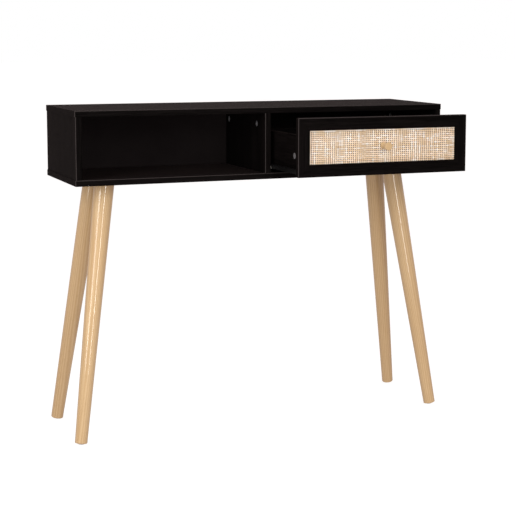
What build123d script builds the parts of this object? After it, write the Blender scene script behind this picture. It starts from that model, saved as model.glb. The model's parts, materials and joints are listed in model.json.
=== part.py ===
from build123d import *
import math
import os

# A console table: a low cabinet with an open niche on the left and a drawer on the right, on four
# splayed legs. Millimetres. X runs along the table, Y from the front to the back, Z up. The origin
# is on the floor under the middle of the cabinet. The drawer stands partly open.

# Overall sizes
table_width = 1000.0
table_depth = 300.0
table_height = 830.0
cabinet_height = 183.0

# Cabinet boards
board = 15.0
end_overhang = 1.5
arris = 0.8
back_thickness = 3.0
back_inset = 10.0
groove_depth = 6.0
groove_clearance = 0.2
divider_x = 0.0

# Drawer front: a mitred frame with a cane panel in its rebate
front_gap = 3.5
front_thickness = 15.0
frame_member = 31.0
rebate_width = 5.0
cane_recess = 5.0
cane_thickness = 1.2

# Drawer box
drawer_board = 15.0
drawer_length = 250.0
drawer_side_height = 96.0
drawer_lift = 10.0
drawer_bottom_thickness = 3.0
drawer_bottom_rise = 5.5
drawer_groove_depth = 5.0

# Knob
knob_length = 31.0
knob_base_radius = 8.7
knob_waist_radius = 5.6
knob_face_radius = 10.0
knob_base_thickness = 4.0
knob_head_thickness = 7.0
knob_rim_round = 1.5

# Knob screw
knob_screw_radius = 2.0
knob_screw_clearance = 0.2
knob_screw_grip = 14.0
knob_screw_head_radius = 4.5
knob_screw_head_thickness = 2.2
knob_screw_recess_depth = 1.4

# What all the screws share: the size of the point and of the cross cut, as parts of the screw's own
point_share = 0.2
cross_arm_share = 0.2
cross_depth_share = 0.7

# Cam fittings: a bolt in one board, locked by a disc in the next
cam_radius = 7.4
cam_height = 12.5
cam_clearance = 0.1
cam_face_depth = 0.2
cam_setback = 30.0
cam_slot_width = 4.6
cam_cross_depth = 1.6
cam_chamber_width = 7.0
cam_chamber_length = 4.0
cam_chamber_past_middle = 1.0
cam_bolt_thread_radius = 3.0
cam_bolt_thread_length = 10.0
cam_bolt_body_radius = 3.5
cam_bolt_neck_radius = 2.0
cam_bolt_head_radius = 3.2
cam_bolt_head_length = 3.0
cam_bolt_bore_radius = 4.0
cam_front_inset = 60.0
cam_rear_inset = 37.0
drawer_cam_rise = 44.0

# Dowels
dowel_radius = 4.0
dowel_length = 30.0
dowel_in_face = 10.0
dowel_chamfer = 0.8
drawer_dowel_rises = (17.0, 76.0)

# Long screws that hold the uprights from below
long_screw_length = 50.0
long_screw_shank_radius = 3.5
long_screw_thread_radius = 2.5
long_screw_head_radius = 5.0
long_screw_recess_depth = 2.5

# Drawer runners: sheet steel rails with one roller each
runner_gap = 12.5
runner_length = 250.0
runner_engaged = 60.0
drawer_travel_left = 21.0
sheet = 1.0
cabinet_rail_front_gap = 3.0
drawer_rail_front_gap = 0.5
tread_rise = 12.0
tread_tip_gap = 3.0
rail_floor_drop = 6.0
rail_floor_width = 10.8
rail_guard_gap = 1.0
rail_guard_width = 7.0
rail_guard_setback = 36.0
rail_foot_width = 10.0
roller_radius = 8.0
roller_width = 6.5
roller_tip_gap = 3.5
roller_running_gap = 0.15
roller_rim_round = 0.6
roller_bore_clearance = 0.05
roller_end_clearance = 0.15
roller_end_distance = 12.0
roller_pin_radius = 2.5
roller_pin_shoulder_radius = 3.6
roller_pin_head_radius = 4.0
roller_pin_head_thickness = 0.8

# Runner screws
rail_screw_radius = 1.75
rail_screw_length = 13.0
rail_screw_head_radius = 3.5
rail_screw_head_thickness = 1.2
rail_screw_front_inset = 50.0
rail_screw_rear_inset = 35.0
drawer_rail_screw_end_inset = 62.5
drawer_rail_screw_inset = 6.0

# Screws that hold the back of the drawer
box_screw_radius = 2.0
box_screw_length = 35.0
box_screw_head_radius = 3.8
box_screw_rises = (30.0, 76.0)

# Legs: round, tapered, leaning out towards the corners
leg_corner_inset = 97.5
leg_tilt = 10.2
leg_turn = 40.0
leg_top_radius = 25.5
leg_foot_radius = 15.5
leg_end_round = 2.0
leg_plate_clearance = 0.3

# Glides under the feet
glide_radius = 10.0
glide_rim = 1.0
glide_dome = 3.0
glide_nail_radius = 1.2
glide_nail_length = 14.0

# Slanted leg plates, their nuts, bolts and screws
plate_size = 70.0
plate_thickness = 2.0
plate_corner_radius = 8.0
plate_cup_radius = 18.0
plate_screw_offset = 27.0
plate_screw_radius = 2.0
plate_screw_length = 14.0
plate_screw_head_radius = 3.8
nut_across_flats = 13.0
nut_height = 5.5
hanger_bolt_radius = 4.0
hanger_bolt_in_leg = 40.0
hanger_bolt_above_seat = 10.0
bolt_point_length = 5.0
bolt_hole_clearance = 0.4
pocket_radius = 12.0
pocket_depth = 8.0

# Derived places
half_width = table_width / 2
half_depth = table_depth / 2
cabinet_top = table_height
cabinet_bottom = table_height - cabinet_height
ceiling_z = cabinet_top - board
floor_z = cabinet_bottom + board
side_outer_x = half_width - end_overhang
side_inner_x = side_outer_x - board
front_y = -half_depth
back_face_y = half_depth - back_inset - back_thickness
bay_left_x = divider_x + board / 2
bay_right_x = side_inner_x

front_left_x = bay_left_x + front_gap
front_right_x = bay_right_x - front_gap
front_bottom_z = floor_z + front_gap
front_top_z = ceiling_z - front_gap
drawer_open = runner_length - runner_engaged - drawer_travel_left
drawer_face_y = front_y - drawer_open
drawer_back_of_front_y = drawer_face_y + front_thickness
drawer_rear_y = drawer_back_of_front_y + drawer_length
drawer_left_x = bay_left_x + runner_gap
drawer_right_x = bay_right_x - runner_gap
drawer_low_z = floor_z + drawer_lift
drawer_side_top_z = drawer_low_z + drawer_side_height
drawer_bottom_z = drawer_low_z + drawer_bottom_rise
cane_y = drawer_face_y + cane_recess
backing_y = cane_y + cane_thickness
knob_x = (front_left_x + front_right_x) / 2
knob_z = (front_bottom_z + front_top_z) / 2

cabinet_rail_y = front_y + front_thickness + cabinet_rail_front_gap
drawer_rail_y = drawer_back_of_front_y + drawer_rail_front_gap
tread_under_z = drawer_low_z + tread_rise - sheet
rail_floor_z = drawer_low_z - rail_floor_drop
front_roller_y = cabinet_rail_y + roller_end_distance
front_roller_z = tread_under_z - roller_running_gap - roller_radius
rear_roller_y = drawer_rail_y + runner_length - roller_end_distance
rear_roller_z = rail_floor_z + roller_running_gap + roller_radius

cam_front_y = front_y + cam_front_inset
cam_rear_y = half_depth - cam_rear_inset
dowel_y = (cam_front_y + cam_rear_y) / 2
upright_xs = (-side_inner_x - board / 2, divider_x, side_inner_x + board / 2)
upright_faces = (1, -1, -1)

tilt = math.radians(leg_tilt)
turn = math.radians(leg_turn)
seat_drop = plate_thickness + leg_plate_clearance + leg_top_radius * math.sin(tilt)
dome_radius = (glide_radius ** 2 + glide_dome ** 2) / (2 * glide_dome)
glide_height = glide_rim + glide_dome
foot_height = dome_radius - (dome_radius - glide_height) * math.cos(tilt)
leg_length = (cabinet_bottom - seat_drop - foot_height) / math.cos(tilt)
leg_corners = {
    "front_left": (-1, -1),
    "front_right": (1, -1),
    "rear_left": (-1, 1),
    "rear_right": (1, 1),
}


def block(x0, x1, y0, y1, z0, z1):
    """A box between two corners."""
    middle = ((x0 + x1) / 2, (y0 + y1) / 2, (z0 + z1) / 2)
    return Pos(*middle) * Box(x1 - x0, y1 - y0, z1 - z0)


def rod(radius, low, high):
    """A cylinder along Z from one height to another."""
    return Pos(0, 0, low) * Cylinder(radius, high - low, align=(Align.CENTER, Align.CENTER, Align.MIN))


def taper(low_radius, high_radius, low, high):
    """A cone along Z from one height to another."""
    base = (Align.CENTER, Align.CENTER, Align.MIN)
    return Pos(0, 0, low) * Cone(low_radius, high_radius, high - low, align=base)


def cross_recess(width, depth):
    """The cross cut for a screwdriver, going down from the plane Z = 0."""
    arm = width * cross_arm_share
    return block(-width / 2, width / 2, -arm / 2, arm / 2, -depth, 0) + block(
        -arm / 2, arm / 2, -width / 2, width / 2, -depth, 0
    )


def countersunk_screw(head_radius, radius, length):
    """A countersunk screw, its flat head in the plane Z = 0 and its point down."""
    head_depth = head_radius - radius
    shank = rod(radius, -length + radius, -head_depth / 2)
    head = taper(radius, head_radius, -head_depth, 0)
    point = taper(radius * point_share, radius, -length, -length + radius)
    return shank + head + point - cross_recess(head_radius, head_depth)


def countersunk_hole(head_radius, radius, length):
    """The space that a countersunk screw fills."""
    head_depth = head_radius - radius
    return rod(radius, -length, 0) + taper(radius, head_radius, -head_depth, 0)


def wafer_screw(head_radius, head_thickness, radius, length):
    """A screw with a thin flat head above the plane Z = 0 and its point down."""
    shank = rod(radius, -length + radius, 0)
    head = rod(head_radius, 0, head_thickness)
    point = taper(radius * point_share, radius, -length, -length + radius)
    recess = Pos(0, 0, head_thickness) * cross_recess(head_radius, head_thickness * cross_depth_share)
    return shank + head + point - recess


def facing(point, outward):
    """A place at the point whose Z axis is the given direction."""
    return Plane(origin=point, z_dir=outward).location


# Cam fittings. In their own frame the joint is the plane Z = 0, the bolt comes down from it along Z,
# and the board that holds the disc is cut open on its +X face.


def cam_bolt():
    """A steel bolt: thread up into the first board, body, neck and head down in the second."""
    neck_start = -cam_setback + cam_radius
    head_start = -cam_setback + cam_chamber_past_middle
    thread = rod(cam_bolt_thread_radius, 0, cam_bolt_thread_length)
    body = rod(cam_bolt_body_radius, neck_start, 0)
    neck = rod(cam_bolt_neck_radius, head_start, neck_start)
    head = rod(cam_bolt_head_radius, head_start - cam_bolt_head_length, head_start)
    return thread + body + neck + head


def cam_disc(thickness):
    """A cast disc with a slot for the bolt's neck, a chamber for its head and a cross in its face."""
    face_x = thickness / 2 - cam_face_depth
    head_start = -cam_setback + cam_chamber_past_middle
    disc = Pos(face_x - cam_height / 2, 0, -cam_setback) * Rot(0, 90, 0) * Cylinder(cam_radius, cam_height)
    slot = cam_slot_width / 2
    chamber = cam_chamber_width / 2
    disc -= block(-slot, slot, -slot, slot, head_start, -cam_setback + cam_radius)
    disc -= block(-chamber, chamber, -chamber, chamber, head_start - cam_chamber_length, head_start)
    cross = Pos(face_x, 0, -cam_setback) * Rot(0, 90, 0) * cross_recess(cam_radius, cam_cross_depth)
    return disc - cross


def cam_bolt_hole():
    """The threaded hole in the board that the bolt is screwed into."""
    return rod(cam_bolt_thread_radius, 0, cam_bolt_thread_length)


def cam_disc_holes(thickness):
    """The bore for the disc and the bore from the board's end to it."""
    depth = cam_height + cam_face_depth
    radius = cam_radius + cam_clearance
    middle_x = thickness / 2 - depth / 2
    bore = Pos(middle_x, 0, -cam_setback) * Rot(0, 90, 0) * Cylinder(radius, depth)
    return bore + rod(cam_bolt_bore_radius, -cam_setback, 0)


def upright_cam_places():
    """Where the cam fittings of the three uprights go, each with the side that its disc faces."""
    places = []
    for x, face in zip(upright_xs, upright_faces):
        for y in (cam_front_y, cam_rear_y):
            turned = 0 if face > 0 else 180
            places.append(Pos(x, y, ceiling_z) * Rot(0, 0, turned))
    return places


def drawer_side_middles():
    """The middle planes of the drawer's two sides, each with its outer direction."""
    return ((drawer_left_x + drawer_board / 2, -1), (drawer_right_x - drawer_board / 2, 1))


def drawer_cam_places():
    """Where the drawer's cam fittings go: the joint is the back of the front, the bolt runs to the rear."""
    places = []
    for x, face in drawer_side_middles():
        turned = 0 if face > 0 else 180
        spot = Pos(x, drawer_back_of_front_y, drawer_low_z + drawer_cam_rise)
        places.append(spot * Rot(90, 0, 0) * Rot(0, 0, turned))
    return places


# Dowels. In their own frame the joint is the plane Z = 0 and the short end is up.


def dowel():
    """A beech dowel with chamfered ends."""
    pin = rod(dowel_radius, -dowel_length + dowel_in_face, dowel_in_face)
    return chamfer(pin.edges().filter_by(GeomType.CIRCLE), dowel_chamfer)


def dowel_hole():
    """The two bores that a dowel fills."""
    return rod(dowel_radius, -dowel_length + dowel_in_face, dowel_in_face)


def upright_dowel_places():
    """One dowel at the top and one at the bottom of each upright."""
    places = []
    for x in upright_xs:
        places.append(Pos(x, dowel_y, ceiling_z))
        places.append(Pos(x, dowel_y, floor_z) * Rot(180, 0, 0))
    return places


def drawer_dowel_places():
    """Two dowels between the front and each side of the drawer."""
    places = []
    for x, _ in drawer_side_middles():
        for rise in drawer_dowel_rises:
            places.append(Pos(x, drawer_back_of_front_y, drawer_low_z + rise) * Rot(90, 0, 0))
    return places


def long_screw_places():
    """The screws that hold the uprights from below, their heads flush with the underside."""
    places = []
    for x in upright_xs:
        for y in (cam_front_y, cam_rear_y):
            places.append(Pos(x, y, cabinet_bottom) * Rot(180, 0, 0))
    return places


def long_screw():
    """A stepped screw: countersunk head, thick shank in the bottom board, thinner thread above."""
    head_depth = long_screw_head_radius - long_screw_shank_radius
    tip = long_screw_thread_radius
    head = taper(long_screw_shank_radius, long_screw_head_radius, -head_depth, 0)
    shank = rod(long_screw_shank_radius, -board, -head_depth / 2)
    thread = rod(long_screw_thread_radius, -long_screw_length + tip, -board)
    point = taper(tip * point_share, tip, -long_screw_length, -long_screw_length + tip)
    recess = cross_recess(long_screw_head_radius, long_screw_recess_depth)
    return head + shank + thread + point - recess


def long_screw_hole():
    """The stepped hole for a long screw."""
    head_depth = long_screw_head_radius - long_screw_shank_radius
    head = taper(long_screw_shank_radius, long_screw_head_radius, -head_depth, 0)
    shank = rod(long_screw_shank_radius, -board, 0)
    return head + shank + rod(long_screw_thread_radius, -long_screw_length, 0)


# Cabinet boards


def cut_all(solid, tool, places):
    """The solid with the same tool cut out of it at each place."""
    for place in places:
        solid -= place * tool
    return solid


def back_groove():
    """The groove that holds the back panel in the boards around it."""
    width = back_thickness + groove_clearance
    reach = side_inner_x + groove_depth
    return block(
        -reach, reach, back_face_y, back_face_y + width, floor_z - groove_depth, ceiling_z + groove_depth
    )


def wide_board(low_z):
    """A full-width board of the cabinet with softened edges."""
    slab = block(-half_width, half_width, -half_depth, half_depth, low_z, low_z + board)
    return fillet(slab.edges(), arris) - back_groove()


def top_panel():
    """The top, drilled from below for the cam bolts and dowels."""
    panel = cut_all(wide_board(ceiling_z), cam_bolt_hole(), upright_cam_places())
    return cut_all(panel, dowel_hole(), upright_dowel_places())


def bottom_panel():
    """The bottom, drilled for dowels, long screws, plate screws and the ends of the hanger bolts."""
    panel = cut_all(wide_board(cabinet_bottom), dowel_hole(), upright_dowel_places())
    panel = cut_all(panel, long_screw_hole(), long_screw_places())
    for corner in leg_corners.values():
        x, y = leg_plate_middle(corner)
        panel -= Pos(x, y, cabinet_bottom) * rod(pocket_radius, 0, pocket_depth)
        panel = cut_all(panel, plate_screw_hole(), plate_screw_places(corner))
    return panel


def upright(middle_x, rear_y):
    """A board that stands between the top and the bottom, with softened front and rear edges."""
    low_x = middle_x - board / 2
    slab = block(low_x, low_x + board, front_y, rear_y, floor_z, ceiling_z)
    slab = fillet(slab.edges().filter_by(Axis.Z), arris)
    slab = cut_all(slab, dowel_hole(), upright_dowel_places())
    return cut_all(slab, long_screw_hole(), long_screw_places())


def side_panel(side):
    """An end board of the cabinet: side is -1 on the left and 1 on the right."""
    middle_x = side * (side_inner_x + board / 2)
    panel = upright(middle_x, half_depth) - back_groove()
    panel = cut_all(panel, cam_disc_holes(board), upright_cam_places())
    if side > 0:
        panel = cut_all(panel, rail_screw_hole(), cabinet_rail_screw_places(1))
    return panel


def centre_divider():
    """The board between the niche and the drawer, up to the back panel."""
    panel = upright(divider_x, back_face_y)
    panel = cut_all(panel, cam_disc_holes(board), upright_cam_places())
    return cut_all(panel, rail_screw_hole(), cabinet_rail_screw_places(-1))


def back_panel():
    """The thin board that slides in the groove round the back."""
    reach = side_inner_x + groove_depth - groove_clearance
    low_z = floor_z - groove_depth + groove_clearance
    high_z = ceiling_z + groove_depth - groove_clearance
    return block(-reach, reach, back_face_y, back_face_y + back_thickness, low_z, high_z)


# Drawer runners. side is -1 for the left one, on the divider, and 1 for the right one. Their widths
# are measured from the upright's face towards the drawer.


def runner_x(side, distance):
    """The X of a point that is the given distance from the face of the upright."""
    face_x = bay_left_x if side < 0 else bay_right_x
    return face_x - side * distance


def runner_block(side, near, far, y0, y1, z0, z1):
    """A box in the runner's gap, between two distances from the upright."""
    xs = sorted((runner_x(side, near), runner_x(side, far)))
    return block(xs[0], xs[1], y0, y1, z0, z1)


def along_runner(side, distance, y, z):
    """A place beside the runner whose Z axis points from the upright to the drawer."""
    return facing((runner_x(side, distance), y, z), (-side, 0, 0))


def cabinet_rail(side):
    """The channel on the upright: a web, a floor that a roller runs on and a guard above it."""
    rear_y = cabinet_rail_y + runner_length
    guard_z = drawer_low_z + tread_rise + rail_guard_gap
    web = runner_block(side, 0, sheet, cabinet_rail_y, rear_y, rail_floor_z - sheet, guard_z + sheet)
    floor = runner_block(
        side, 0, rail_floor_width, cabinet_rail_y, rear_y, rail_floor_z - sheet, rail_floor_z
    )
    guard_front = cabinet_rail_y + rail_guard_setback
    guard = runner_block(side, 0, rail_guard_width, guard_front, rear_y, guard_z, guard_z + sheet)
    rail = web + floor + guard
    rail -= along_runner(side, 0, front_roller_y, front_roller_z) * rod(roller_pin_radius, 0, sheet)
    return cut_all(rail, rail_screw_hole(), cabinet_rail_screw_places(side))


def drawer_rail(side):
    """The rail on the drawer: a web on the side, a foot under it and a tread towards the upright."""
    rear_y = drawer_rail_y + runner_length - drawer_rail_front_gap
    tread_top = drawer_low_z + tread_rise
    web = runner_block(
        side, runner_gap - sheet, runner_gap, drawer_rail_y, rear_y, drawer_low_z - sheet, tread_top
    )
    foot = runner_block(
        side,
        runner_gap - sheet,
        runner_gap + rail_foot_width,
        drawer_rail_y,
        rear_y,
        drawer_low_z - sheet,
        drawer_low_z,
    )
    tread = runner_block(
        side, tread_tip_gap, runner_gap, drawer_rail_y, rear_y, tread_top - sheet, tread_top
    )
    rail = web + foot + tread
    pin = along_runner(side, runner_gap - sheet, rear_roller_y, rear_roller_z)
    rail -= pin * rod(roller_pin_radius, 0, sheet)
    return cut_all(rail, rail_screw_hole(), drawer_rail_screw_places_at(side))


def rail_screw():
    """A short screw with a thin head on the plane Z = 0."""
    head = (rail_screw_head_radius, rail_screw_head_thickness)
    return wafer_screw(*head, rail_screw_radius, rail_screw_length)


def rail_screw_hole():
    """The hole that a runner screw fills."""
    return rod(rail_screw_radius, -rail_screw_length, 0)


def cabinet_rail_screw_places(side):
    """The screws through the web of a cabinet rail, heads towards the drawer."""
    middle_z = drawer_low_z + (tread_rise - rail_floor_drop) / 2
    from_front = (rail_screw_front_inset, runner_length / 2, runner_length - rail_screw_rear_inset)
    return [along_runner(side, sheet, cabinet_rail_y + distance, middle_z) for distance in from_front]


def drawer_rail_screw_places_at(side):
    """The screws up through the foot of a drawer rail into the lower edge of the drawer's side."""
    x = runner_x(side, runner_gap + drawer_rail_screw_inset)
    from_front = (drawer_rail_screw_end_inset, runner_length - drawer_rail_screw_end_inset)
    places = []
    for distance in from_front:
        places.append(facing((x, drawer_rail_y + distance, drawer_low_z - sheet), (0, 0, -1)))
    return places


def roller():
    """A nylon roller with a bore and softened rims, its near face in the plane Z = 0."""
    wheel = rod(roller_radius, 0, roller_width)
    wheel = fillet(wheel.edges().filter_by(GeomType.CIRCLE), roller_rim_round)
    return wheel - rod(roller_pin_radius + roller_bore_clearance, 0, roller_width)


def roller_pin(roller_start):
    """A rivet from the web: a flush shank, a shoulder, and a head beyond the roller."""
    roller_end = roller_start + roller_width
    head_start = roller_end + roller_end_clearance
    shank = rod(roller_pin_radius, -sheet, head_start)
    shoulder = rod(roller_pin_shoulder_radius, 0, roller_start - roller_end_clearance)
    head = rod(roller_pin_head_radius, head_start, head_start + roller_pin_head_thickness)
    return shank + shoulder + head


def front_roller(side):
    """The roller on the front end of a cabinet rail."""
    return along_runner(side, roller_tip_gap, front_roller_y, front_roller_z) * roller()


def rear_roller(side):
    """The roller on the rear end of a drawer rail."""
    return along_runner(side, roller_tip_gap, rear_roller_y, rear_roller_z) * roller()


def front_roller_pin(side):
    """The rivet that holds a front roller to its cabinet rail."""
    return along_runner(side, sheet, front_roller_y, front_roller_z) * roller_pin(roller_tip_gap - sheet)


def rear_roller_pin(side):
    """The rivet that holds a rear roller to its drawer rail."""
    web_face = runner_gap - sheet
    start = web_face - roller_tip_gap - roller_width
    place = facing((runner_x(side, web_face), rear_roller_y, rear_roller_z), (side, 0, 0))
    return place * roller_pin(start)


# Drawer front


def frame_ring():
    """The whole frame before it is cut at the mitres: softened edges, and a rebate behind."""
    back_y = drawer_back_of_front_y
    outer = block(front_left_x, front_right_x, drawer_face_y, back_y, front_bottom_z, front_top_z)
    outer = fillet(outer.edges(), arris)
    inner = block(
        front_left_x + frame_member,
        front_right_x - frame_member,
        drawer_face_y,
        back_y,
        front_bottom_z + frame_member,
        front_top_z - frame_member,
    )
    return outer - inner - rebate_slice(cane_y, back_y)


def rebate_slice(near_y, far_y):
    """The space behind the frame's lip between two depths."""
    reach = frame_member - rebate_width
    return block(
        front_left_x + reach,
        front_right_x - reach,
        near_y,
        far_y,
        front_bottom_z + reach,
        front_top_z - reach,
    )


def mitre_wedge(name):
    """The quarter of the frame that one member fills, bounded by the mitre lines."""
    left, right = front_left_x, front_right_x
    low, high = front_bottom_z, front_top_z
    half = (high - low) / 2
    outlines = {
        "top_rail": [(left, high), (right, high), (right - half, high - half), (left + half, high - half)],
        "bottom_rail": [(left, low), (right, low), (right - half, low + half), (left + half, low + half)],
        "left_stile": [(left, low), (left, high), (left + half, low + half)],
        "right_stile": [(right, low), (right, high), (right - half, low + half)],
    }
    outline = make_face(Plane.XZ * Polyline(*outlines[name], close=True))
    return Pos(0, drawer_back_of_front_y, 0) * extrude(outline, front_thickness, both=True)


def frame_piece(name):
    """One mitred member of the drawer's front, with the holes for what fixes the box to it."""
    member = frame_ring() & mitre_wedge(name)
    member = cut_all(member, cam_bolt_hole(), drawer_cam_places())
    member = cut_all(member, dowel_hole(), drawer_dowel_places())
    return member - drawer_bottom_groove()


def cane_panel():
    """The cane webbing as one thin flat solid, held in the rebate."""
    return rebate_slice(cane_y, backing_y) - knob_screw_hole()


def drawer_front_backing():
    """The dark board behind the cane, flush with the back of the frame."""
    return rebate_slice(backing_y, drawer_back_of_front_y) - knob_screw_hole()


# Drawer box


def drawer_bottom_groove():
    """The groove for the drawer's bottom in the front, the sides and the back."""
    width = drawer_bottom_thickness + groove_clearance
    return block(
        drawer_left_x + drawer_board - drawer_groove_depth,
        drawer_right_x - drawer_board + drawer_groove_depth,
        drawer_back_of_front_y - drawer_groove_depth,
        drawer_rear_y - drawer_board + drawer_groove_depth,
        drawer_bottom_z,
        drawer_bottom_z + width,
    )


def drawer_side(side):
    """A side of the drawer: side is -1 on the left and 1 on the right."""
    outer_x = drawer_left_x if side < 0 else drawer_right_x
    inner_x = outer_x - side * drawer_board
    xs = sorted((outer_x, inner_x))
    slab = block(xs[0], xs[1], drawer_back_of_front_y, drawer_rear_y, drawer_low_z, drawer_side_top_z)
    slab = fillet(slab.edges().filter_by(Axis.Y), arris) - drawer_bottom_groove()
    slab = cut_all(slab, cam_disc_holes(drawer_board), drawer_cam_places())
    slab = cut_all(slab, dowel_hole(), drawer_dowel_places())
    slab = cut_all(slab, box_screw_hole(), box_screw_places())
    return cut_all(slab, rail_screw_hole(), drawer_rail_screw_places_at(side))


def drawer_back():
    """The back of the drawer, between its sides."""
    left = drawer_left_x + drawer_board
    right = drawer_right_x - drawer_board
    front = drawer_rear_y - drawer_board
    slab = block(left, right, front, drawer_rear_y, drawer_low_z, drawer_side_top_z)
    slab = fillet(slab.edges().filter_by(Axis.X), arris) - drawer_bottom_groove()
    return cut_all(slab, box_screw_hole(), box_screw_places())


def drawer_bottom():
    """The thin bottom in its grooves."""
    reach = drawer_groove_depth - groove_clearance
    return block(
        drawer_left_x + drawer_board - reach,
        drawer_right_x - drawer_board + reach,
        drawer_back_of_front_y - reach,
        drawer_rear_y - drawer_board + reach,
        drawer_bottom_z,
        drawer_bottom_z + drawer_bottom_thickness,
    )


def box_screw_places():
    """The screws through the sides into the ends of the drawer's back."""
    y = drawer_rear_y - drawer_board / 2
    places = []
    for outer_x, side in ((drawer_left_x, -1), (drawer_right_x, 1)):
        for rise in box_screw_rises:
            places.append(facing((outer_x, y, drawer_low_z + rise), (side, 0, 0)))
    return places


def box_screw():
    """A countersunk wood screw for the drawer's back."""
    return countersunk_screw(box_screw_head_radius, box_screw_radius, box_screw_length)


def box_screw_hole():
    """The hole that a box screw fills."""
    return countersunk_hole(box_screw_head_radius, box_screw_radius, box_screw_length)


# Knob


def knob_place():
    """The knob's seat on the cane: its Z axis points out of the drawer's front."""
    return facing((knob_x, cane_y, knob_z), (0, -1, 0))


def knob_screw_hole():
    """The hole through the cane and its backing for the knob's screw."""
    return knob_place() * rod(knob_screw_radius + knob_screw_clearance, -front_thickness, 0)


def knob():
    """A turned spool: a base on the cane, a narrow waist and a wider head."""
    head_start = knob_length - knob_head_thickness
    rim_start = knob_length - knob_rim_round
    flat_radius = knob_face_radius - knob_rim_round
    waist_z = (knob_base_thickness + head_start) / 2
    base_edge = (knob_base_radius, knob_base_thickness)
    head_edge = (knob_face_radius, head_start)
    rim_edge = (knob_face_radius, rim_start)
    base = Polyline((0, 0), (knob_base_radius, 0), base_edge)
    waist = ThreePointArc(base_edge, (knob_waist_radius, waist_z), head_edge)
    rim = Line(head_edge, rim_edge)
    rim_round = RadiusArc(rim_edge, (flat_radius, knob_length), -knob_rim_round)
    face = Polyline((flat_radius, knob_length), (0, knob_length), (0, 0))
    outline = make_face(Plane.XZ * (base + waist + rim + rim_round + face))
    hole = rod(knob_screw_radius, 0, knob_screw_grip)
    return knob_place() * (revolve(outline, Axis.Z) - hole)


def knob_screw():
    """The screw from inside the drawer into the knob."""
    reach = drawer_back_of_front_y - cane_y
    head_end = -reach - knob_screw_head_thickness
    head = rod(knob_screw_head_radius, head_end, -reach)
    shank = rod(knob_screw_radius, -reach, knob_screw_grip)
    recess = cross_recess(knob_screw_head_radius, knob_screw_recess_depth)
    return knob_place() * (head + shank - Pos(0, 0, head_end) * Rot(180, 0, 0) * recess)


# Legs. corner is a pair of signs, along X and along Y.


def leg_plate_middle(corner):
    """Where a leg's axis meets the underside of the cabinet."""
    x = corner[0] * (half_width - leg_corner_inset)
    y = corner[1] * (half_depth - leg_corner_inset)
    return x, y


def leg_seat(corner):
    """The place of a leg's upper end: Z runs up along the leg's axis."""
    lean_x = corner[0] * math.sin(tilt) * math.cos(turn)
    lean_y = corner[1] * math.sin(tilt) * math.sin(turn)
    up = Vector(-lean_x, -lean_y, math.cos(tilt))
    x, y = leg_plate_middle(corner)
    start = Vector(x, y, cabinet_bottom) - up * (seat_drop / math.cos(tilt))
    return facing(start, up)


def leg(corner):
    """A round tapered leg with softened ends, bored for its bolt and for the glide's nail."""
    shaft = taper(leg_foot_radius, leg_top_radius, -leg_length, 0)
    shaft = fillet(shaft.edges().filter_by(GeomType.CIRCLE), leg_end_round)
    shaft -= rod(hanger_bolt_radius, -hanger_bolt_in_leg, 0)
    shaft -= rod(glide_nail_radius, -leg_length, -leg_length + glide_nail_length)
    return leg_seat(corner) * shaft


def leg_glide(corner):
    """A domed nylon glide nailed into the foot."""
    dome_middle = -leg_length - glide_height + dome_radius
    disc = rod(glide_radius, -leg_length - glide_height, -leg_length)
    dome = disc & (Pos(0, 0, dome_middle) * Sphere(dome_radius))
    nail = rod(glide_nail_radius, -leg_length, -leg_length + glide_nail_length)
    return leg_seat(corner) * (dome + nail)


def leg_plate(corner):
    """A pressed steel plate: a flange on the cabinet and a slanted cup that the leg bears on."""
    x, y = leg_plate_middle(corner)
    flange = Rectangle(plate_size, plate_size)
    flange = fillet(flange.vertices(), plate_corner_radius)
    flange_low = cabinet_bottom - plate_thickness
    plate = Pos(x, y, flange_low) * extrude(flange, plate_thickness)
    seat = leg_seat(corner)
    deep = cabinet_bottom - plate_size
    below = block(x - plate_size, x + plate_size, y - plate_size, y + plate_size, deep, cabinet_bottom)
    cup = (seat * rod(plate_cup_radius, 0, plate_size / 2)) & below
    inside = seat * rod(plate_cup_radius - plate_thickness, plate_thickness, plate_size / 2)
    bolt_hole = seat * rod(hanger_bolt_radius + bolt_hole_clearance, 0, plate_size / 2)
    plate = plate + cup - inside - bolt_hole
    return cut_all(plate, plate_screw_hole(), plate_screw_places(corner))


def plate_screw_places(corner):
    """The four screws of a leg plate, heads down and flush with its flange."""
    x, y = leg_plate_middle(corner)
    low_z = cabinet_bottom - plate_thickness
    places = []
    for step_x in (-1, 1):
        for step_y in (-1, 1):
            spot = (x + step_x * plate_screw_offset, y + step_y * plate_screw_offset, low_z)
            places.append(facing(spot, (0, 0, -1)))
    return places


def plate_screw():
    """A countersunk wood screw for a leg plate."""
    return countersunk_screw(plate_screw_head_radius, plate_screw_radius, plate_screw_length)


def plate_screw_hole():
    """The hole that a plate screw fills."""
    return countersunk_hole(plate_screw_head_radius, plate_screw_radius, plate_screw_length)


def plate_nut(corner):
    """The hexagon nut in the plate's cup."""
    nut = extrude(RegularPolygon(nut_across_flats / 2, 6, major_radius=False), nut_height)
    nut = Pos(0, 0, plate_thickness) * nut - rod(hanger_bolt_radius, 0, plate_size / 2)
    return leg_seat(corner) * nut


def hanger_bolt(corner):
    """The bolt between leg and plate: a wood thread with a point below, a machine thread above."""
    point_end = -hanger_bolt_in_leg
    shank = rod(hanger_bolt_radius, point_end + bolt_point_length, hanger_bolt_above_seat)
    tip_radius = hanger_bolt_radius * point_share
    point = taper(tip_radius, hanger_bolt_radius, point_end, point_end + bolt_point_length)
    return leg_seat(corner) * (shank + point)


# Every piece of the table by name


def repeat(solid, places):
    """Copies of one solid at many places, kept as separate solids."""
    return Compound([solid.moved(place) for place in places])


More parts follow.
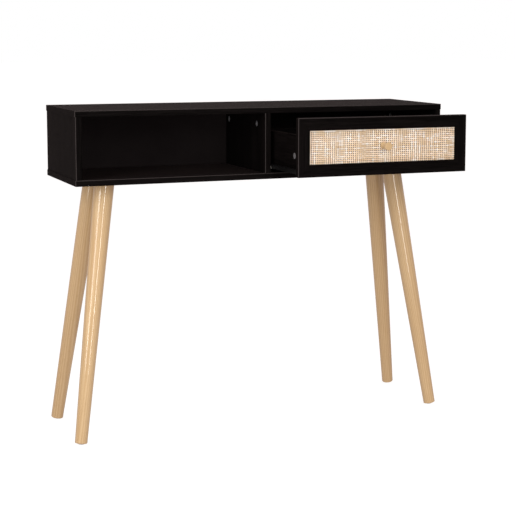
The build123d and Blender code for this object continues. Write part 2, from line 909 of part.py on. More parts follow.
def every_piece():
    """The name and the shape of each node."""
    sides = {"left": -1, "right": 1}
    pieces = {
        "top_panel": top_panel(),
        "bottom_panel": bottom_panel(),
        "left_side_panel": side_panel(-1),
        "right_side_panel": side_panel(1),
        "centre_divider": centre_divider(),
        "back_panel": back_panel(),
        "cabinet_cam_discs": repeat(cam_disc(board), upright_cam_places()),
        "cabinet_cam_bolts": repeat(cam_bolt(), upright_cam_places()),
        "cabinet_dowels": repeat(dowel(), upright_dowel_places()),
        "cabinet_long_screws": repeat(long_screw(), long_screw_places()),
        "cane_panel": cane_panel(),
        "drawer_front_backing": drawer_front_backing(),
        "drawer_back": drawer_back(),
        "drawer_bottom": drawer_bottom(),
        "drawer_cam_discs": repeat(cam_disc(drawer_board), drawer_cam_places()),
        "drawer_cam_bolts": repeat(cam_bolt(), drawer_cam_places()),
        "drawer_dowels": repeat(dowel(), drawer_dowel_places()),
        "drawer_box_screws": repeat(box_screw(), box_screw_places()),
        "knob": knob(),
        "knob_screw": knob_screw(),
        "front_roller_pins": Compound([front_roller_pin(side) for side in sides.values()]),
        "rear_roller_pins": Compound([rear_roller_pin(side) for side in sides.values()]),
        "leg_plate_nuts": Compound([plate_nut(corner) for corner in leg_corners.values()]),
        "hanger_bolts": Compound([hanger_bolt(corner) for corner in leg_corners.values()]),
        "leg_glides": Compound([leg_glide(corner) for corner in leg_corners.values()]),
    }
    for name in ("top_rail", "bottom_rail", "left_stile", "right_stile"):
        pieces[f"drawer_front_{name}"] = frame_piece(name)
    cabinet_rail_places = []
    drawer_rail_places = []
    for name, side in sides.items():
        pieces[f"drawer_{name}_side"] = drawer_side(side)
        pieces[f"{name}_cabinet_rail"] = cabinet_rail(side)
        pieces[f"{name}_drawer_rail"] = drawer_rail(side)
        pieces[f"{name}_front_roller"] = front_roller(side)
        pieces[f"{name}_rear_roller"] = rear_roller(side)
        cabinet_rail_places += cabinet_rail_screw_places(side)
        drawer_rail_places += drawer_rail_screw_places_at(side)
    pieces["cabinet_rail_screws"] = repeat(rail_screw(), cabinet_rail_places)
    pieces["drawer_rail_screws"] = repeat(rail_screw(), drawer_rail_places)
    screw_places = []
    for name, corner in leg_corners.items():
        pieces[f"{name}_leg"] = leg(corner)
        pieces[f"{name}_leg_plate"] = leg_plate(corner)
        screw_places += plate_screw_places(corner)
    pieces["leg_plate_screws"] = repeat(plate_screw(), screw_places)
    return pieces


os.makedirs("parts", exist_ok=True)
for piece_name, piece in every_piece().items():
    export_step(piece, f"parts/{piece_name}.step")
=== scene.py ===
import json
import math

import bpy
import numpy as np
from mathutils import Matrix, Vector


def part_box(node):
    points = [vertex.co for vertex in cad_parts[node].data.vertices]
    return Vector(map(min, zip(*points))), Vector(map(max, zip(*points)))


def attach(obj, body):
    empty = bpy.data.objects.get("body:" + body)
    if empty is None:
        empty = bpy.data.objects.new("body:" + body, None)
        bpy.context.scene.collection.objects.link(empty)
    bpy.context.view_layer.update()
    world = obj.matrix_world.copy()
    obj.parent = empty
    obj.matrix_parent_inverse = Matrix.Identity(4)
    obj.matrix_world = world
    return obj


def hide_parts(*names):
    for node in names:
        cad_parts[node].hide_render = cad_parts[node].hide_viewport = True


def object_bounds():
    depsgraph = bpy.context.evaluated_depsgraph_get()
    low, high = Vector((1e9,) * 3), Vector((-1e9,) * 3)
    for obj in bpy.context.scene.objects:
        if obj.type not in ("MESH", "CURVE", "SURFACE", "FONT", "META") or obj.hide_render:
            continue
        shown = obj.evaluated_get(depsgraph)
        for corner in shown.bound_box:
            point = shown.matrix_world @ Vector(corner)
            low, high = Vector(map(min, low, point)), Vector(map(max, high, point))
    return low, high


# The looks of a console table: black laminated boards, a woven cane drawer front, and turned legs and a
# knob of pale lacquered wood. Metres, with X along the table, Y from front to back and Z up. The loaded
# pieces keep their shapes. The cane is woven here, strand by strand, in the space of its flat panel.

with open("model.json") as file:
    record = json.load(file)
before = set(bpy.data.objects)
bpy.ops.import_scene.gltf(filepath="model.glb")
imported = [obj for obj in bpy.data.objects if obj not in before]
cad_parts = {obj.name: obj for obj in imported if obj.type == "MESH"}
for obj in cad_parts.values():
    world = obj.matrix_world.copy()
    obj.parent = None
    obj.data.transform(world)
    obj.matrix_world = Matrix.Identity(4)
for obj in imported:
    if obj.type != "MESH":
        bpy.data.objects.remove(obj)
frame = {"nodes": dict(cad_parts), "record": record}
nodes = frame["nodes"]
cad_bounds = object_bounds()
MM = 0.001
X = 0
Y = 1
Z = 2
draws = np.random.default_rng(seed=11)

# Cane: flat strands that pass over and under each other, and long waves in the web that they make
STRAND_PITCHES = {X: 5.7 * MM, Z: 5.0 * MM}
STRAND_SHARE = 0.53
STRAND_WIDTHS = (0.86, 1.12)
STRAND_THICKNESS = 0.42 * MM
STRAND_PLAY = 0.06 * MM
STRAND_OFFSET = 0.10 * MM
LARGEST_OFFSET = 0.3 * MM
STRAND_WAVES = 3
STRAND_WAVE_LENGTHS = (0.025, 0.09)
STRAND_WANDER = 0.05 * MM
STRAND_SWELL = 0.03
TONE_SPREAD = (2.2, 2.6)
TONE_SWELL = 0.13
ROWS_PER_CROSSING = 4
SECTION_POINTS = 12
SECTION_POWER = 0.7
GROOVE_DEPTH = 0.3
GROOVE_WIDTH = 0.25
WEB_WAVES_PER_AXIS = 6
WEB_WAVE_LENGTHS = (0.05, 0.15)
WEB_WAVE_STARTS = (0, 6.28)
WEB_DRIFT = 0.13 * MM
EDGE_FADE = 12.0 * MM
KNOT_PLACE = (0.20, 0.0, 0.48)
KNOT_RADIUS = 1.0 * MM
KNOT_FADE_RADIUS = 2.6 * MM

# Textures: how far each is drawn out along the grain, the growth rings of the legs and knob, and how far
# the look of a cut face and the painted highlight on a front edge reach
LAMINATE_GRAIN = 0.03
LAMINATE_CLOUD_SCALE = 3
BEECH_GRAIN = 0.08
CANE_FIBRE_GRAIN = 0.05
CANE_PATCH_GRAIN = 0.30
SCRATCH_GRAIN = 0.06
WOOD_FIBRE_GRAIN = 0.02
WOOD_PORE_GRAIN = 0.07
WOOD_WANDER_GRAIN = 0.12
RING_WIDTH = 2.4 * MM
RING_WANDER = 12.0 * MM
HEART_DISTANCES = (0.05, 0.09)
CUT_FADE = 0.8 * MM
ARRIS_HIGHLIGHT_REACH = 2.2 * MM

# Colours, as light reflected in red, green and blue
BLACK_LAMINATE = (0.0016, 0.0014, 0.0013, 1)
BLACK_LAMINATE_LIGHT = (0.0068, 0.0055, 0.0053, 1)
# The arris colour is a painted highlight: the light that the boards' rounded front edges would catch
BLACK_ARRIS_HIGHLIGHT = (0.050, 0.043, 0.042, 1)
BLACK_FOIL = (0.0080, 0.0064, 0.0064, 1)
BLACK_FOIL_LIGHT = (0.0180, 0.0143, 0.0141, 1)
WARM_SHINE = (1.0, 0.72, 0.69, 1)
LEG_WOOD_PALE = (0.63, 0.465, 0.26, 1)
LEG_WOOD_DARK = (0.49, 0.325, 0.155, 1)
LEG_WOOD_PORE = (0.34, 0.19, 0.085, 1)
END_GRAIN = (0.55, 0.385, 0.20, 1)
BEECH_PALE = (0.72, 0.50, 0.31, 1)
BEECH_DARK = (0.56, 0.35, 0.20, 1)
BEECH_FLECK = (0.30, 0.16, 0.08, 1)
BLACK_COAT = (0.004, 0.004, 0.004, 1)
BLACK_COAT_RUBBED = (0.012, 0.011, 0.011, 1)
NYLON_PALE = (0.80, 0.79, 0.74, 1)
NYLON_DARK = (0.70, 0.68, 0.62, 1)
CANE_CREAM = (0.88, 0.76, 0.61, 1)
CANE_TAN = (0.68, 0.51, 0.32, 1)
CANE_WHITE = (0.90, 0.88, 0.83, 1)
CANE_KNOT = (0.20, 0.10, 0.045, 1)
FLOOR_PALE = (0.32, 0.32, 0.32, 1)
FLOOR_DARK = (0.30, 0.30, 0.30, 1)
WHITE = (1, 1, 1, 1)
WARM_WHITE = (1.0, 0.86, 0.84, 1)

# Bare metals: two greys, the least roughness, and the mottles in a metre
ZINC_CASTING = {
    "pale": (0.52, 0.52, 0.53, 1),
    "dark": (0.34, 0.34, 0.36, 1),
    "roughness": 0.38,
    "mottle_scale": 700.0,
}
ZINC_PLATING = {
    "pale": (0.66, 0.66, 0.66, 1),
    "dark": (0.50, 0.51, 0.54, 1),
    "roughness": 0.22,
    "mottle_scale": 260.0,
}

# Shines: the shader values that don't vary over a surface
DULL_BLACK = {
    "Specular IOR Level": 0.006,
    "Sheen Weight": 0.012,
    "Sheen Roughness": 0.35,
    "Sheen Tint": WARM_SHINE,
}
LACQUER = {"Specular IOR Level": 0.10, "Coat Weight": 0.9, "Coat Roughness": 0.09}
POWDER_COAT = {"Specular IOR Level": 0.12}
BARE_METAL = {"Metallic": 0.9}
FLOOR_SHINE = {"Roughness": 0.9, "Emission Color": WHITE, "Emission Strength": 0.83}

# Room and camera: the camera's place is from the middle of the table's top
FLOOR_HALF = 40.0
ROOM_SEEN_STRENGTH = 1.0
ROOM_LIGHT_STRENGTH = 0.60
CAMERA_PLACE = (-1.2994, -3.3513, 0.1901)
CAMERA_YAW = math.radians(23.40)
CAMERA_DIP = math.radians(6.94)
CAMERA_ROLL = math.radians(0.21)
LENS_LENGTH = 95.10
FILM_WIDTH = 36.0
FILM_SHIFT = (-0.0804, -0.1165)
NEAREST_SEEN = 0.1
FURTHEST_SEEN = 200.0


# Shader arithmetic


class Field:
    """A number, a colour or a direction that varies over a surface: one output of a finish's node."""

    def __init__(self, finish, socket):
        self.finish = finish
        self.socket = socket

    def __add__(self, other):
        return self.finish.maths("ADD", self, other)

    def __radd__(self, other):
        return self.finish.maths("ADD", other, self)

    def __sub__(self, other):
        return self.finish.maths("SUBTRACT", self, other)

    def __rsub__(self, other):
        return self.finish.maths("SUBTRACT", other, self)

    def __mul__(self, other):
        return self.finish.maths("MULTIPLY", self, other)

    def __rmul__(self, other):
        return self.finish.maths("MULTIPLY", other, self)

    def __truediv__(self, other):
        return self.finish.maths("DIVIDE", self, other)

    def __pow__(self, other):
        return self.finish.maths("POWER", self, other)


class Finish:
    """A material or a world, and the nodes that work out its look."""

    def __init__(self, owner):
        self.owner = owner
        self.owner.use_nodes = True
        self.tree = self.owner.node_tree
        self.tree.nodes.clear()

    def node(self, kind, settings, values, output=0):
        """Adds a node: its settings first, then the values or links of its sockets."""
        made = self.tree.nodes.new(kind)
        for name, setting in settings.items():
            setattr(made, name, setting)
        for name, value in values.items():
            if isinstance(value, Field):
                self.tree.links.new(value.socket, made.inputs[name])
            else:
                made.inputs[name].default_value = value
        return Field(self, made.outputs[output]) if len(made.outputs) else None

    def maths(self, operation, first, second):
        """One step of arithmetic on two numbers or varying numbers."""
        return self.node("ShaderNodeMath", {"operation": operation}, {0: first, 1: second})

    def place(self):
        """Where a point of the surface is, in metres."""
        return self.node("ShaderNodeTexCoord", {}, {}, "Object")

    def turned(self, vector, turn):
        """A direction or place after a turn given as three angles."""
        return self.node("ShaderNodeMapping", {}, {"Vector": vector, "Rotation": turn})

    def scaled(self, vector, scale, shift):
        """A place multiplied by three factors and then shifted."""
        return self.node("ShaderNodeMapping", {}, {"Vector": vector, "Scale": scale, "Location": shift})

    def noise(self, vector, scale, detail, roughness=0.5):
        """Smooth random values from 0 to 1, about 1 / scale metres from one to the next."""
        values = {"Vector": vector, "Scale": scale, "Detail": detail, "Roughness": roughness}
        return self.node("ShaderNodeTexNoise", {}, values, "Fac")

    def rise(self, value, low, high):
        """0 below one limit, 1 above the other, and a smooth rise between them."""
        values = {"Value": value, "From Min": low, "From Max": high}
        return self.node("ShaderNodeMapRange", {"interpolation_type": "SMOOTHSTEP"}, values)

    def blend(self, share, first, second):
        """The first colour where share is 0 and the second where it is 1.

        The node's sockets go by number, as each name comes back for every kind of data.
        """
        return self.node("ShaderNodeMix", {"data_type": "RGBA"}, {0: share, 6: first, 7: second}, 2)

    def parts(self, vector):
        """The three parts of a place or direction."""
        across = self.node("ShaderNodeSeparateXYZ", {}, {0: vector})
        return [Field(self, output) for output in across.socket.node.outputs]

    def bump(self, height, depth, strength=1.0):
        """A surface direction that follows small heights, with the deepest of them depth metres."""
        return self.node("ShaderNodeBump", {}, {"Strength": strength, "Distance": depth, "Height": height})

    def finished(self, values):
        """Ends the nodes in one shader and gives the material."""
        shader = self.node("ShaderNodeBsdfPrincipled", {}, values)
        self.node("ShaderNodeOutputMaterial", {}, {"Surface": shader})
        return self.owner


def new_finish(name):
    """The finish of a new material, still without nodes."""
    return Finish(bpy.data.materials.new(name))


def drawn_out(along, scale):
    """Factors that draw a texture out along one axis, where its scale is less than 1."""
    return [scale if axis == along else 1.0 for axis in (X, Y, Z)]


# Black laminate


def painted_arris_highlight(finish, place, low, high, sides):
    """1 along a board's front edges, where a highlight is painted, and 0 further than the highlight's reach
    from them.

    They are the edges between the front face and each of the named sides. A face's closeness is 1 on
    it and falls to 0 at the reach, and an edge is where two of them are 1 at once.
    """
    across, deep, up = finish.parts(place)
    gaps = {"left": across - low[X], "right": high[X] - across, "top": high[Z] - up}
    near_front = 1 - finish.rise(deep - low[Y], 0.0, ARRIS_HIGHLIGHT_REACH)
    near_side = 0.0
    for side in sides:
        near_side = finish.maths("MAXIMUM", near_side, 1 - finish.rise(gaps[side], 0.0, ARRIS_HIGHLIGHT_REACH))
    return near_front * near_side


def laminate(name, low, high, along, sides):
    """Black laminate with pressed wood grain along one axis of a box from low to high, and painted arris
    highlights.
    """
    finish = new_finish(name)
    place = finish.place()
    shift = draws.uniform(-3, 3, 3)
    stretch = drawn_out(along, LAMINATE_GRAIN)
    grain_place = finish.scaled(place, stretch, shift)
    cloud_place = finish.scaled(place, [LAMINATE_CLOUD_SCALE * factor for factor in stretch], shift)
    streaks = finish.noise(grain_place, scale=420.0, detail=6.0, roughness=0.62)
    pores = 1 - finish.rise(finish.noise(grain_place, scale=1300.0, detail=2.0), low=0.34, high=0.46)
    cloud = finish.noise(cloud_place, scale=9.0, detail=2.0)
    # Painted highlight: the front edges are made lighter and less rough, in place of light caught by their
    # rounded arrises
    wear_and_highlight = painted_arris_highlight(finish, place, low, high, sides)
    lighter = finish.rise(streaks * 0.75 + cloud * 0.35, low=0.38, high=0.75)
    colour = finish.blend(lighter, BLACK_LAMINATE, BLACK_LAMINATE_LIGHT)
    colour = finish.blend(pores * 0.7, colour, BLACK_LAMINATE)
    # Paints the arris highlight into the colour
    colour = finish.blend(wear_and_highlight, colour, BLACK_ARRIS_HIGHLIGHT)
    rough = 0.46 + 0.10 * streaks + 0.16 * pores - 0.10 * wear_and_highlight
    normal = finish.bump(streaks * 0.4 - pores, depth=0.12 * MM, strength=0.55)
    return finish.finished({"Base Color": colour, "Roughness": rough, "Normal": normal, **DULL_BLACK})


def thin_board(name):
    """Black foil on a thin fibre board: nearly plain, with a fine leathery surface."""
    finish = new_finish(name)
    place = finish.place()
    cloud = finish.noise(place, scale=14.0, detail=3.0)
    skin = finish.noise(place, scale=900.0, detail=3.0, roughness=0.6)
    colour = finish.blend(cloud * 0.6 + skin * 0.3, BLACK_FOIL, BLACK_FOIL_LIGHT)
    rough = 0.50 + 0.12 * skin
    normal = finish.bump(skin, depth=0.06 * MM, strength=0.5)
    return finish.finished({"Base Color": colour, "Roughness": rough, "Normal": normal, **DULL_BLACK})


# Pale wood


def long_axis(node):
    """The direction in which a node's points spread most, pointing up or to the back."""
    mesh = nodes[node].data
    points = np.empty(len(mesh.vertices) * 3)
    mesh.vertices.foreach_get("co", points)
    points = points.reshape(-1, 3)
    directions = np.linalg.svd(points - points.mean(0), full_matrices=False)[2]
    axis = Vector(directions[0])
    return axis if axis.z + axis.y > 0 else -axis


def pale_wood(name, axis, middle, cut_face_y=None):
    """Turned pale wood with a satin lacquer, its grain along an axis through a middle point.

    Growth rings are circles about the heart of the tree, which lies beside the piece, so their lines run
    along it: ring goes evenly from 0 to 1 and back while the distance from the heart grows by two ring
    widths. Fibres and pores are noise drawn out along the axis. A face cut across the grain, at
    cut_face_y, shows end grain.
    """
    finish = new_finish(name)
    place = finish.place()
    turn = axis.rotation_difference(Vector((0, 0, 1)))
    centred = finish.scaled(place, (1, 1, 1), -middle)
    upright = finish.turned(centred, turn.to_euler())
    across, deep = finish.parts(upright)[:2]
    heart = draws.uniform(*HEART_DISTANCES, 2) * draws.choice([-1, 1], 2)
    wander_place = finish.scaled(upright, drawn_out(Z, WOOD_WANDER_GRAIN), draws.uniform(-2, 2, 3))
    fibre_place = finish.scaled(upright, drawn_out(Z, WOOD_FIBRE_GRAIN), draws.uniform(-2, 2, 3))
    pore_place = finish.scaled(upright, drawn_out(Z, WOOD_PORE_GRAIN), (1, 2, 3))
    wander = finish.noise(wander_place, scale=24.0, detail=2.0)
    fibres = finish.noise(fibre_place, scale=900.0, detail=5.0, roughness=0.6)
    pores = 1 - finish.rise(finish.noise(pore_place, scale=1500.0, detail=2.0), low=0.30, high=0.40)
    distance = ((across - heart[X]) ** 2.0 + (deep - heart[Y]) ** 2.0) ** 0.5
    ring = finish.maths("PINGPONG", distance + wander * RING_WANDER, RING_WIDTH) / RING_WIDTH
    tone = finish.rise(ring * 0.40 + fibres * 0.55 + wander * 0.35, low=0.25, high=1.05)
    colour = finish.blend(tone, LEG_WOOD_PALE, LEG_WOOD_DARK)
    colour = finish.blend(pores * 0.35, colour, LEG_WOOD_PORE)
    if cut_face_y is not None:
        cut = 1 - finish.rise(finish.parts(place)[Y], cut_face_y, cut_face_y + CUT_FADE)
        colour = finish.blend(cut * 0.9, colour, END_GRAIN)
    rough = 0.34 + 0.10 * fibres + 0.10 * pores
    normal = finish.bump(fibres * 0.5 - pores, depth=0.04 * MM, strength=0.5)
    return finish.finished({"Base Color": colour, "Roughness": rough, "Normal": normal, **LACQUER})


def beech(name, along):
    """Raw beech: pink-brown, with short dark flecks along the grain."""
    finish = new_finish(name)
    grain_place = finish.scaled(finish.place(), drawn_out(along, BEECH_GRAIN), (0, 0, 0))
    fibres = finish.noise(grain_place, scale=1200.0, detail=4.0)
    flecks = 1 - finish.rise(finish.noise(grain_place, scale=2600.0, detail=1.0), low=0.30, high=0.42)
    colour = finish.blend(fibres, BEECH_PALE, BEECH_DARK)
    colour = finish.blend(flecks * 0.5, colour, BEECH_FLECK)
    rough = 0.7 + 0.1 * fibres
    normal = finish.bump(fibres, depth=0.05 * MM)
    return finish.finished({"Base Color": colour, "Roughness": rough, "Normal": normal})


# Metal and nylon


def coated_steel(name):
    """Black powder coat: an orange-peel surface with a satin shine and rubbed patches."""
    finish = new_finish(name)
    place = finish.place()
    peel = finish.noise(place, scale=1600.0, detail=2.0)
    wear_and_highlight = finish.rise(finish.noise(place, scale=60.0, detail=4.0), low=0.55, high=0.80)
    colour = finish.blend(wear_and_highlight, BLACK_COAT, BLACK_COAT_RUBBED)
    rough = 0.34 + 0.15 * peel + 0.10 * wear_and_highlight
    normal = finish.bump(peel, depth=0.04 * MM, strength=0.6)
    return finish.finished({"Base Color": colour, "Roughness": rough, "Normal": normal, **POWDER_COAT})


def bare_metal(name, pale, dark, roughness, mottle_scale):
    """Zinc or zinc-plated steel: mottled grey metal with fine scratches."""
    finish = new_finish(name)
    place = finish.place()
    mottle = finish.noise(place, scale=mottle_scale, detail=4.0, roughness=0.6)
    scratch_place = finish.scaled(place, drawn_out(Y, SCRATCH_GRAIN), (0, 0, 0))
    scratches = finish.noise(scratch_place, scale=2500.0, detail=2.0)
    colour = finish.blend(mottle, pale, dark)
    rough = roughness + 0.20 * mottle + 0.10 * scratches
    normal = finish.bump(mottle * 0.6 + scratches * 0.4, depth=0.03 * MM, strength=0.5)
    return finish.finished({"Base Color": colour, "Roughness": rough, "Normal": normal, **BARE_METAL})


def nylon(name):
    """Milky moulded nylon with a faint cloudiness."""
    finish = new_finish(name)
    place = finish.place()
    cloud = finish.noise(place, scale=160.0, detail=2.0)
    skin = finish.noise(place, scale=2200.0, detail=2.0)
    colour = finish.blend(cloud, NYLON_PALE, NYLON_DARK)
    rough = 0.36 + 0.14 * skin
    normal = finish.bump(skin, depth=0.02 * MM, strength=0.4)
    return finish.finished({"Base Color": colour, "Roughness": rough, "Normal": normal})


# Woven cane


def cane_strand(name, along, knot):
    """Peeled cane: each strand has its own tone, fine fibres along it and a dull gloss.

    The mesh holds each strand's tone, from 0 to 1, and knot is the middle of one dark knot.
    """
    finish = new_finish(name)
    place = finish.place()
    tone = finish.node("ShaderNodeAttribute", {"attribute_name": "strand_tone"}, {}, "Fac")
    fibre_place = finish.scaled(place, drawn_out(along, CANE_FIBRE_GRAIN), (0, 0, 0))
    patch_place = finish.scaled(place, drawn_out(along, CANE_PATCH_GRAIN), (1, 1, 1))
    fibres = finish.noise(fibre_place, scale=1700.0, detail=4.0, roughness=0.6)
    patches = finish.noise(patch_place, scale=110.0, detail=3.0)
    from_knot = finish.node("ShaderNodeVectorMath", {"operation": "DISTANCE"}, {0: place, 1: knot}, "Value")
    darkness = 0.8 * (1 - finish.rise(from_knot, KNOT_RADIUS, KNOT_FADE_RADIUS))
    colour = finish.blend(finish.rise(tone + patches * 0.7, low=0.45, high=1.15), CANE_CREAM, CANE_TAN)
    colour = finish.blend(1 - finish.rise(tone + patches * 0.6, low=0.28, high=0.62), colour, CANE_WHITE)
    colour = finish.blend(finish.rise(fibres, low=0.50, high=0.80) * 0.55, colour, CANE_TAN)
    colour = finish.blend(darkness, colour, CANE_KNOT)
    rough = 0.45 + 0.25 * fibres
    normal = finish.bump(fibres, depth=0.08 * MM, strength=0.7)
    return finish.finished({"Base Color": colour, "Roughness": rough, "Normal": normal})


def add_piece(name, points, quads, tones):
    """A smooth mesh object from points (n x 3), four-sided faces (m x 4) and a tone for each point."""
    mesh = bpy.data.meshes.new(name)
    mesh.vertices.add(len(points))
    mesh.vertices.foreach_set("co", points.astype(np.float32).ravel())
    mesh.loops.add(quads.size)
    mesh.loops.foreach_set("vertex_index", quads.astype(np.int32).ravel())
    mesh.polygons.add(len(quads))
    mesh.polygons.foreach_set("loop_start", np.arange(0, quads.size, 4, dtype=np.int32))
    mesh.polygons.foreach_set("use_smooth", np.ones(len(quads), bool))
    mesh.attributes.new("strand_tone", "FLOAT", "POINT").data.foreach_set("value", tones.astype(np.float32))
    mesh.update(calc_edges=True)
    piece = bpy.data.objects.new(name, mesh)
    bpy.context.scene.collection.objects.link(piece)
    return piece


def tube_quads(strands, rows, around):
    """The faces of closed strands: quads between neighbouring rows, and each end closed by a strip.

    Point (s, r, a) has the number (s * rows + r) * around + a. The strip across an end joins point k to
    point around - 1 - k of the same row.
    """
    numbers = np.arange(strands * rows * around).reshape(strands, rows, around)
    here, beside = numbers, np.roll(numbers, -1, axis=2)
    walls = np.stack([here[:, :-1], beside[:, :-1], beside[:, 1:], here[:, 1:]], axis=-1)
    step = np.arange(around // 2 - 1)
    strip = np.stack([step, step + 1, around - 2 - step, around - 1 - step], axis=-1)
    first, last = numbers[:, 0][:, strip[:, ::-1]], numbers[:, -1][:, strip]
    return np.concatenate([part.reshape(-1, 4) for part in (walls, first, last)])


def web_wave():
    """The bearing, the length and the start of one random long wave in the web."""
    bearing = draws.uniform(0, math.pi)
    length = draws.uniform(*WEB_WAVE_LENGTHS)
    start = draws.uniform(*WEB_WAVE_STARTS)
    return bearing, length, start


web_waves = {axis: [web_wave() for _ in range(WEB_WAVES_PER_AXIS)] for axis in (X, Z)}


def web_drift(points, low, high):
    """How far the hand-woven web has shifted from an even grid at each point, in its own plane.

    The shift is a sum of long waves, sin(2 pi (x cos b + z sin b) / length + start), each with its own
    bearing b, and it fades to nothing within EDGE_FADE of the panel's edges.
    """
    shift = np.zeros(points.shape)
    inside = np.minimum(points - low, high - points)
    fade = np.clip(np.minimum(inside[..., X], inside[..., Z]) / EDGE_FADE, 0, 1)
    for axis, waves in web_waves.items():
        for bearing, length, start in waves:
            ahead = points[..., X] * math.cos(bearing) + points[..., Z] * math.sin(bearing)
            shift[..., axis] += WEB_DRIFT * fade * np.sin(2 * math.pi * ahead / length + start)
    return shift


def strand_section():
    """The outline of a strand's section, from -1 to 1 across its width and through its thickness.

    It is a flat oval with a shallow groove down the middle of both faces. At the angle a it has
    side = sign(cos a) |cos a|^power and face = sin a * (1 - depth exp(-(side / groove width)^2)).
    """
    angle = 2 * math.pi * (np.arange(SECTION_POINTS) + 0.5) / SECTION_POINTS
    side = np.sign(np.cos(angle)) * np.abs(np.cos(angle)) ** SECTION_POWER
    face = np.sin(angle) * (1 - GROOVE_DEPTH * np.exp(-((side / GROOVE_WIDTH) ** 2)))
    return side, face


def gentle_waves(count, travel):
    """The sum of a few random waves along each strand, at each distance travelled along it."""
    phase = draws.uniform(0, 2 * math.pi, (count, STRAND_WAVES, 1))
    length = draws.uniform(*STRAND_WAVE_LENGTHS, (count, STRAND_WAVES, 1))
    return np.sin(2 * math.pi * travel[:, None, :] / length + phase).sum(1)


def strands(name, box, along, across, first_sign):
    """Flat strands side by side, woven with another set that crosses them.

    Strand s runs along one axis of the panel's box. Its middle is at (s + 1/2) * pitch, moved by a small
    random offset and a sum of gentle waves, which also swell its width. It weaves by
    lift * cos(pi * (t / crossing pitch - 1/2 + s)), which is at its highest or lowest wherever it meets
    a crossing strand, at t = 1/2, 3/2, 5/2 and so on of the crossing pitch.
    """
    low, high = np.array(box[0]), np.array(box[1])
    size = high - low
    count = round(size[across] / STRAND_PITCHES[across])
    crossings = round(size[along] / STRAND_PITCHES[along])
    pitch, crossing_pitch = size[across] / count, size[along] / crossings
    rows = crossings * ROWS_PER_CROSSING + 1
    travel = np.linspace(0, size[along], rows)[None, :]
    number = np.arange(count)[:, None]

    lift = (size[Y] - STRAND_THICKNESS) / 2 - STRAND_PLAY
    weave = first_sign * lift * np.cos(math.pi * (travel / crossing_pitch - 0.5 + number))
    waves = gentle_waves(count, travel)
    offset = np.clip(draws.normal(0, STRAND_OFFSET, (count, 1)), -LARGEST_OFFSET, LARGEST_OFFSET)
    centre = (number + 0.5) * pitch + offset + waves * STRAND_WANDER
    own_width = draws.uniform(*STRAND_WIDTHS, (count, 1))
    width = STRAND_SHARE * pitch * own_width * (1 + STRAND_SWELL * waves)
    centre = np.clip(centre, width / 2, size[across] - width / 2)

    side, face = strand_section()
    points = np.empty((count, rows, SECTION_POINTS, 3))
    points[..., along] = low[along] + travel[..., None]
    points[..., across] = low[across] + centre[..., None] + width[..., None] / 2 * side
    points[..., Y] = low[Y] + size[Y] / 2 + weave[..., None] + STRAND_THICKNESS / 2 * face
    points += web_drift(points, low, high)

    tone = draws.beta(*TONE_SPREAD, (count, 1)) + TONE_SWELL * np.roll(waves, 1, axis=0)
    tone = np.clip(tone, 0, 1)[..., None] * np.ones(SECTION_POINTS)
    quads = tube_quads(count, rows, SECTION_POINTS)
    outward = quads if along == X else quads[:, ::-1]
    return add_piece(name, points.reshape(-1, 3), outward, tone.ravel())


def woven_cane():
    """The drawer front's cane: upright strands and crosswise strands that pass over and under."""
    low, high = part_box("cane_panel")
    knot = low + Vector(KNOT_PLACE) * (high - low)
    sets = (("cane_upright_strands", Z, X, 1), ("cane_crosswise_strands", X, Z, -1))
    for name, along, across, first_sign in sets:
        piece = strands(name, (low, high), along, across, first_sign)
        piece.data.materials.append(cane_strand(f"{name}_finish", along, knot))
        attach(piece, "drawer")
        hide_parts("cane_panel")


# Finishes for the pieces that keep their shapes


def give(node, material):
    """Puts one material in all of a node's slots."""
    for holder in nodes[node].material_slots:
        holder.material = material


def finish_boards():
    """Each board gets laminate with the grain along its length, and a painted highlight on its open front
    edges.
    """
    boards = {
        "top_panel": (X, ("left", "right", "top")),
        "bottom_panel": (X, ("left", "right", "top")),
        "left_side_panel": (Z, ("left",)),
        "right_side_panel": (Z, ("right",)),
        "centre_divider": (Z, ("left",)),
        "drawer_left_side": (Y, ()),
        "drawer_right_side": (Y, ()),
        "drawer_back": (X, ()),
    }
    for node, (along, sides) in boards.items():
        low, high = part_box(node)
        give(node, laminate(f"{node}_laminate", low, high, along, sides))


def finish_drawer_front():
    """The mitred frame's four pieces are laminated like one board, with a painted highlight on its front
    edges at its sides and top.
    """
    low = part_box("drawer_front_bottom_rail")[0]
    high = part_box("drawer_front_top_rail")[1]
    grain = {"top_rail": X, "bottom_rail": X, "left_stile": Z, "right_stile": Z}
    for piece, along in grain.items():
        node = f"drawer_front_{piece}"
        give(node, laminate(f"{node}_laminate", low, high, along, ("left", "right", "top")))


def finish_thin_boards():
    """The back, the drawer's bottom and the board behind the cane share one black foil."""
    foil = thin_board("thin_board_foil")
    for node in ("back_panel", "drawer_bottom", "drawer_front_backing"):
        give(node, foil)


def finish_wood():
    """Legs and knob share one kind of wood, each cut from its own place in the tree."""
    for end in ("front", "rear"):
        for side in ("left", "right"):
            node = f"{end}_{side}_leg"
            low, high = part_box(node)
            give(node, pale_wood(f"{node}_wood", long_axis(node), (low + high) / 2))
    low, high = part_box("knob")
    give("knob", pale_wood("knob_wood", Vector((0, 1, 0)), (low + high) / 2, low.y))
    give("cabinet_dowels", beech("cabinet_dowel_beech", Z))
    give("drawer_dowels", beech("drawer_dowel_beech", Y))


def finish_metal_and_nylon():
    """The fittings: coated steel, zinc, plated steel and nylon, by the slots of the record."""
    finishes = {
        "black_steel": coated_steel("black_powder_coat"),
        "zinc_casting": bare_metal("zinc_casting", **ZINC_CASTING),
        "plated_steel": bare_metal("zinc_plating", **ZINC_PLATING),
        "white_nylon": nylon("moulded_nylon"),
    }
    for part in frame["record"]["subparts"]:
        if part["material_slot"] in finishes:
            give(part["node"], finishes[part["material_slot"]])


# Room


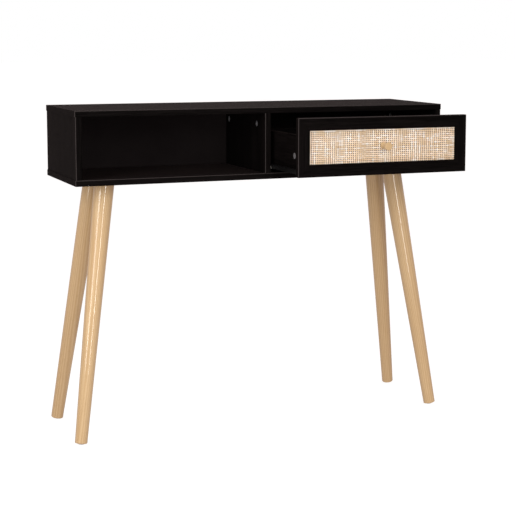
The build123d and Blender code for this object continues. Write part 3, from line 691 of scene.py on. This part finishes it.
def floor():
    """A wide pale floor."""
    mesh = bpy.data.meshes.new("floor")
    far = FLOOR_HALF
    corners = [(-far, -far, 0), (far, -far, 0), (far, far, 0), (-far, far, 0)]
    mesh.from_pydata(corners, [], [(0, 1, 2, 3)])
    piece = bpy.data.objects.new("floor", mesh)
    bpy.context.scene.collection.objects.link(piece)
    finish = new_finish("pale_floor")
    cloud = finish.noise(finish.place(), scale=1.5, detail=2.0)
    colour = finish.blend(cloud, FLOOR_PALE, FLOOR_DARK)
    mesh.materials.append(finish.finished({"Base Color": colour, **FLOOR_SHINE}))
    piece.visible_diffuse = False
    piece.visible_glossy = False


def white_room():
    """White all round, brighter to the eye than as a light."""
    world = bpy.data.worlds.new("white_room")
    bpy.context.scene.world = world
    room = Finish(world)
    lit = room.node("ShaderNodeBackground", {}, {"Color": WARM_WHITE, "Strength": ROOM_LIGHT_STRENGTH})
    seen = room.node("ShaderNodeBackground", {}, {"Color": WHITE, "Strength": ROOM_SEEN_STRENGTH})
    from_eye = room.node("ShaderNodeLightPath", {}, {}, "Is Camera Ray")
    choice = room.node("ShaderNodeMixShader", {}, {0: from_eye, 1: lit, 2: seen})
    room.node("ShaderNodeOutputWorld", {}, {"Surface": choice})


def softbox(name, place, target, size, watts):
    """A flat lamp of a width and a height that faces a point."""
    light = bpy.data.lights.new(name, "AREA")
    light.shape = "RECTANGLE"
    light.size, light.size_y = size
    light.energy = watts
    lamp = bpy.data.objects.new(name, light)
    lamp.location = place
    lamp.rotation_euler = (Vector(target) - Vector(place)).to_track_quat("-Z", "Y").to_euler()
    lamp.visible_camera = False
    bpy.context.scene.collection.objects.link(lamp)


def lights():
    """A tall strip on the left, a broad lamp high in front, a low narrow one, and one overhead."""
    cabinet = (0, 0, 0.72)
    table = (0, 0, 0.45)
    softbox("left_strip", place=(-1.64, -1.03, 1.02), target=cabinet, size=(0.42, 1.5), watts=16.0)
    softbox("front_high", place=(0.2, -3.0, 1.75), target=table, size=(1.4, 0.9), watts=28.0)
    softbox("front_low", place=(-0.2, -3.0, 0.7), target=table, size=(0.35, 1.2), watts=16.0)
    softbox("overhead", place=(0, -0.8, 3.2), target=table, size=(2.5, 1.5), watts=12.0)


def camera():
    """Eye level a little above the top, from the left of the front, through a long lens."""
    level = math.cos(CAMERA_DIP)
    ahead = Vector((math.sin(CAMERA_YAW) * level, math.cos(CAMERA_YAW) * level, -math.sin(CAMERA_DIP)))
    beside = Vector((math.cos(CAMERA_YAW), -math.sin(CAMERA_YAW), 0))
    above = beside.cross(ahead)
    right = math.cos(CAMERA_ROLL) * beside + math.sin(CAMERA_ROLL) * above
    up = -math.sin(CAMERA_ROLL) * beside + math.cos(CAMERA_ROLL) * above
    turn = Matrix((right, up, -ahead)).transposed()
    lens = bpy.data.cameras.new("camera")
    lens.sensor_width = FILM_WIDTH
    lens.lens = LENS_LENGTH
    lens.shift_x, lens.shift_y = FILM_SHIFT
    lens.clip_start = NEAREST_SEEN
    lens.clip_end = FURTHEST_SEEN
    across, deep, above_top = CAMERA_PLACE
    table_top = cad_bounds[1][Z]
    holder = bpy.data.objects.new("camera", lens)
    holder.matrix_world = Matrix.Translation((across, deep, table_top + above_top)) @ turn.to_4x4()
    bpy.context.scene.collection.objects.link(holder)
    bpy.context.scene.camera = holder


finish_boards()
finish_drawer_front()
finish_thin_boards()
finish_wood()
finish_metal_and_nylon()
woven_cane()
floor()
white_room()
lights()
camera()
bpy.context.scene.view_settings.view_transform = "Standard"
